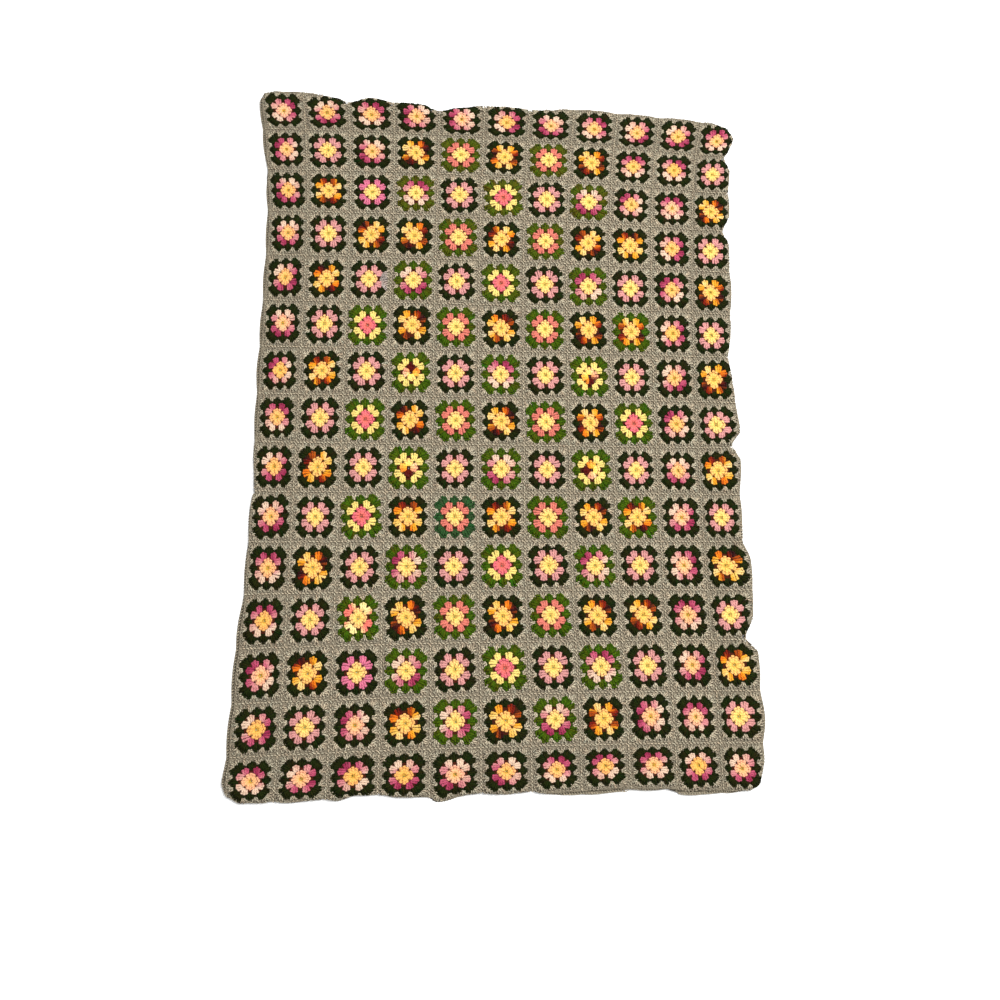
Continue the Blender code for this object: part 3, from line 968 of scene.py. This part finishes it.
def web_sheet(material):
    """A thin sheet through the whole cloth, open at the middle of every square."""
    side = [(i / WEB_STEPS - 0.5, -0.5) for i in range(WEB_STEPS)]
    rim = side + [(-b, a) for a, b in side]
    rim = np.array(rim + [(-a, -b) for a, b in rim])
    circle = rim / np.linalg.norm(rim, axis=1, keepdims=True)
    bm = bmesh.new()
    tint = bm.verts.layers.float_color.new("yarn_colour")
    known = {}

    def vert(u, v, shade, height=WEB_HEIGHT):
        key = (round(u / SAME_PLACE), round(v / SAME_PLACE))
        if key not in known:
            known[key] = bm.verts.new((u, v, height))
            known[key][tint] = (*shade, 1)
        return known[key]

    for (column, row), kind in zip(SQUARES, SQUARE_KINDS):
        loops = []
        for reach, shade in zip(WEB_REACHES, web_shades(kind)):
            square = (reach / 0.5) ** 2
            loop = reach * ((1 - square) * circle + square * 2 * rim)
            height = DISC_HEIGHT if 0.05 < reach < 0.15 else WEB_HEIGHT
            # Each point takes the painted shade of the spaces, or else the web's darkened yarn
            # colour for its reach, also painted shade.
            loops.append([
                vert(
                    column + 0.5 + a, row + 0.5 + b,
                    SHADE if gets_painted_shade(a, b, reach) else shade, height,
                )
                for a, b in loop
            ])
        for low, high in zip(loops, loops[1:]):
            for k in range(len(rim)):
                after = (k + 1) % len(rim)
                bm.faces.new((low[after], low[k], high[k], high[after]))
    edge = []
    corners = ((0, 0), (COLUMNS, 0), (COLUMNS, ROWS), (0, ROWS))
    for (u, v), (next_u, next_v) in zip(corners, corners[1:] + corners[:1]):
        steps = WEB_STEPS * (abs(next_u - u) + abs(next_v - v))
        edge.extend(
            (u + (next_u - u) * i / steps, v + (next_v - v) * i / steps) for i in range(steps)
        )
    past_side = EDGING_WIDTH * WEB_PAST / SIDE_COLUMN_WIDTH
    past_end = EDGING_WIDTH * WEB_PAST / END_ROW_LENGTH
    # The strip under the edging: marl colour at its inner side, darkened as painted shade at its
    # outer side.
    outer = []
    for u, v in edge:
        a = ((u == COLUMNS) - (u == 0)) * past_side
        b = ((v == ROWS) - (v == 0)) * past_end
        outer.append(vert(u + a, v + b, MARL * 0.6))
    inner = [vert(u, v, MARL) for u, v in edge]
    for k in range(len(edge)):
        after = (k + 1) % len(edge)
        bm.faces.new((inner[k], inner[after], outer[after], outer[k]))
    flat = np.array([v.co for v in bm.verts])
    for v, place in zip(bm.verts, settle(flat[:, 0], flat[:, 1], flat[:, 2])):
        v.co = place
    mesh = bpy.data.meshes.new("cloth_web")
    bm.to_mesh(mesh)
    bm.free()
    mesh.materials.append(material)
    mesh.shade_smooth()
    piece = bpy.data.objects.new("cloth_web", mesh)
    bpy.context.scene.collection.objects.link(piece)
    return piece


HEAD_ROWS = 7               # the marl is two pieces: this many rows, and the rest


def build_cloth():
    """Every piece of the blanket, riding on the one body."""
    everyone = np.arange(len(SQUARES))
    soft = yarn_material("plain yarn", 0.08, 0.18, 0.04, 0.08)
    ring_yarn = yarn_material("green yarn", 0.45, 0.25, 0.01, 0.02)
    marl = yarn_material("marl yarn", 0.22, 0.10, 0.04, 0.08, marled=True)
    web = web_sheet(web_material())
    pieces = []

    def add(name, parts, material):
        piece = joined(name, parts, material)
        pieces.append(piece)

    dark, leaf = everyone[~IS_LEAF], everyone[IS_LEAF]
    head, foot = everyone[: HEAD_ROWS * COLUMNS], everyone[HEAD_ROWS * COLUMNS:]
    add("centre_clusters", cluster_round(
        CENTRE_ROUND, everyone, **CENTRE_WORK, colours=centre_colours, post=POST), soft)
    add("petal_clusters", cluster_round(
        PETAL_ROUND, everyone, **PETAL_WORK, colours=petal_colours, post=POST), soft)
    add("dark_green_clusters", cluster_round(
        RING_ROUND, dark, **RING_WORK, colours=ring_colours, post=PLAIN_POST), ring_yarn)
    add("leaf_green_clusters", cluster_round(
        LEAF_ROUND, leaf, **LEAF_WORK, colours=ring_colours, post=PLAIN_POST), ring_yarn)
    for name, which in (("marl_round_head", head), ("marl_round_foot", foot)):
        add(name, cluster_round(
            BORDER_ROUND, which, **BORDER_WORK, colours=marl_colours, post=PLAIN_POST), marl)
    add("join_stitches", join_stitches() + mend_stitches(), marl)
    edging = joined("edging_round", edging_stitches(), marl)
    for piece in (web, edging, *pieces):
        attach(piece, "root")
    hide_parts("blanket")
    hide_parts("edging")


# ---------------------------------------------------------------- camera, floor and light
CAMERA_TURN = (77.2, 24.8, 24.9)        # elevation, azimuth and roll, in degrees
CAMERA_DISTANCE = 2.206
CAMERA_TARGET = (-0.0076, -0.1944, 0)
FLOOR_SIZE = 12
FLOOR_PALE = 0.86
SKY_STRENGTH = 0.85
LAMP_PLACE = (1.8, 1.2, 4.2)
LAMP_SIZE = 2.0
LAMP_POWER = 325


def look_at_blanket():
    """The camera above the foot end, a little to the left, looking down on the cloth."""
    elevation, azimuth, roll = (math.radians(angle) for angle in CAMERA_TURN)
    ahead = Vector((
        math.sin(azimuth) * math.cos(elevation),
        math.cos(azimuth) * math.cos(elevation),
        -math.sin(elevation),
    ))
    right = Vector((math.cos(azimuth), -math.sin(azimuth), 0))
    up = right.cross(ahead)
    turned_right = right * math.cos(roll) + up * math.sin(roll)
    turned_up = up * math.cos(roll) - right * math.sin(roll)
    lens = bpy.data.cameras.new("camera")
    lens.sensor_width = 36
    lens.lens = 32.4
    camera = bpy.data.objects.new("camera", lens)
    axes = Matrix((turned_right, turned_up, -ahead)).transposed()
    place = Vector(CAMERA_TARGET) - ahead * CAMERA_DISTANCE
    camera.matrix_world = Matrix.Translation(place) @ axes.to_4x4()
    bpy.context.scene.collection.objects.link(camera)
    bpy.context.scene.camera = camera


def pale_floor():
    """A plain pale floor under the blanket."""
    bpy.ops.object.select_all(action="DESELECT")
    bpy.ops.mesh.primitive_plane_add(size=FLOOR_SIZE, location=(0, 0, -0.0005))
    floor = bpy.context.object
    floor.name = "floor"
    material = bpy.data.materials.new("pale floor")
    material.use_nodes = True
    shader = material.node_tree.nodes["Principled BSDF"]
    shader.inputs["Base Color"].default_value = (FLOOR_PALE, FLOOR_PALE, FLOOR_PALE, 1)
    shader.inputs["Roughness"].default_value = 0.9
    floor.data.materials.append(material)


def soft_light():
    """A pale sky and one wide lamp above the head end."""
    scene = bpy.context.scene
    world = bpy.data.worlds.new("studio")
    world.use_nodes = True
    world.node_tree.nodes["Background"].inputs["Color"].default_value = (1, 1, 1, 1)
    world.node_tree.nodes["Background"].inputs["Strength"].default_value = SKY_STRENGTH
    scene.world = world
    lamp = bpy.data.lights.new("wide lamp", "AREA")
    lamp.shape = "SQUARE"
    lamp.size = LAMP_SIZE
    lamp.energy = LAMP_POWER
    holder = bpy.data.objects.new("wide lamp", lamp)
    holder.location = LAMP_PLACE
    holder.rotation_euler = (-holder.location).to_track_quat("-Z", "Y").to_euler()
    scene.collection.objects.link(holder)
    scene.view_settings.view_transform = "Standard"


look_at_blanket()
pale_floor()
soft_light()
build_cloth()
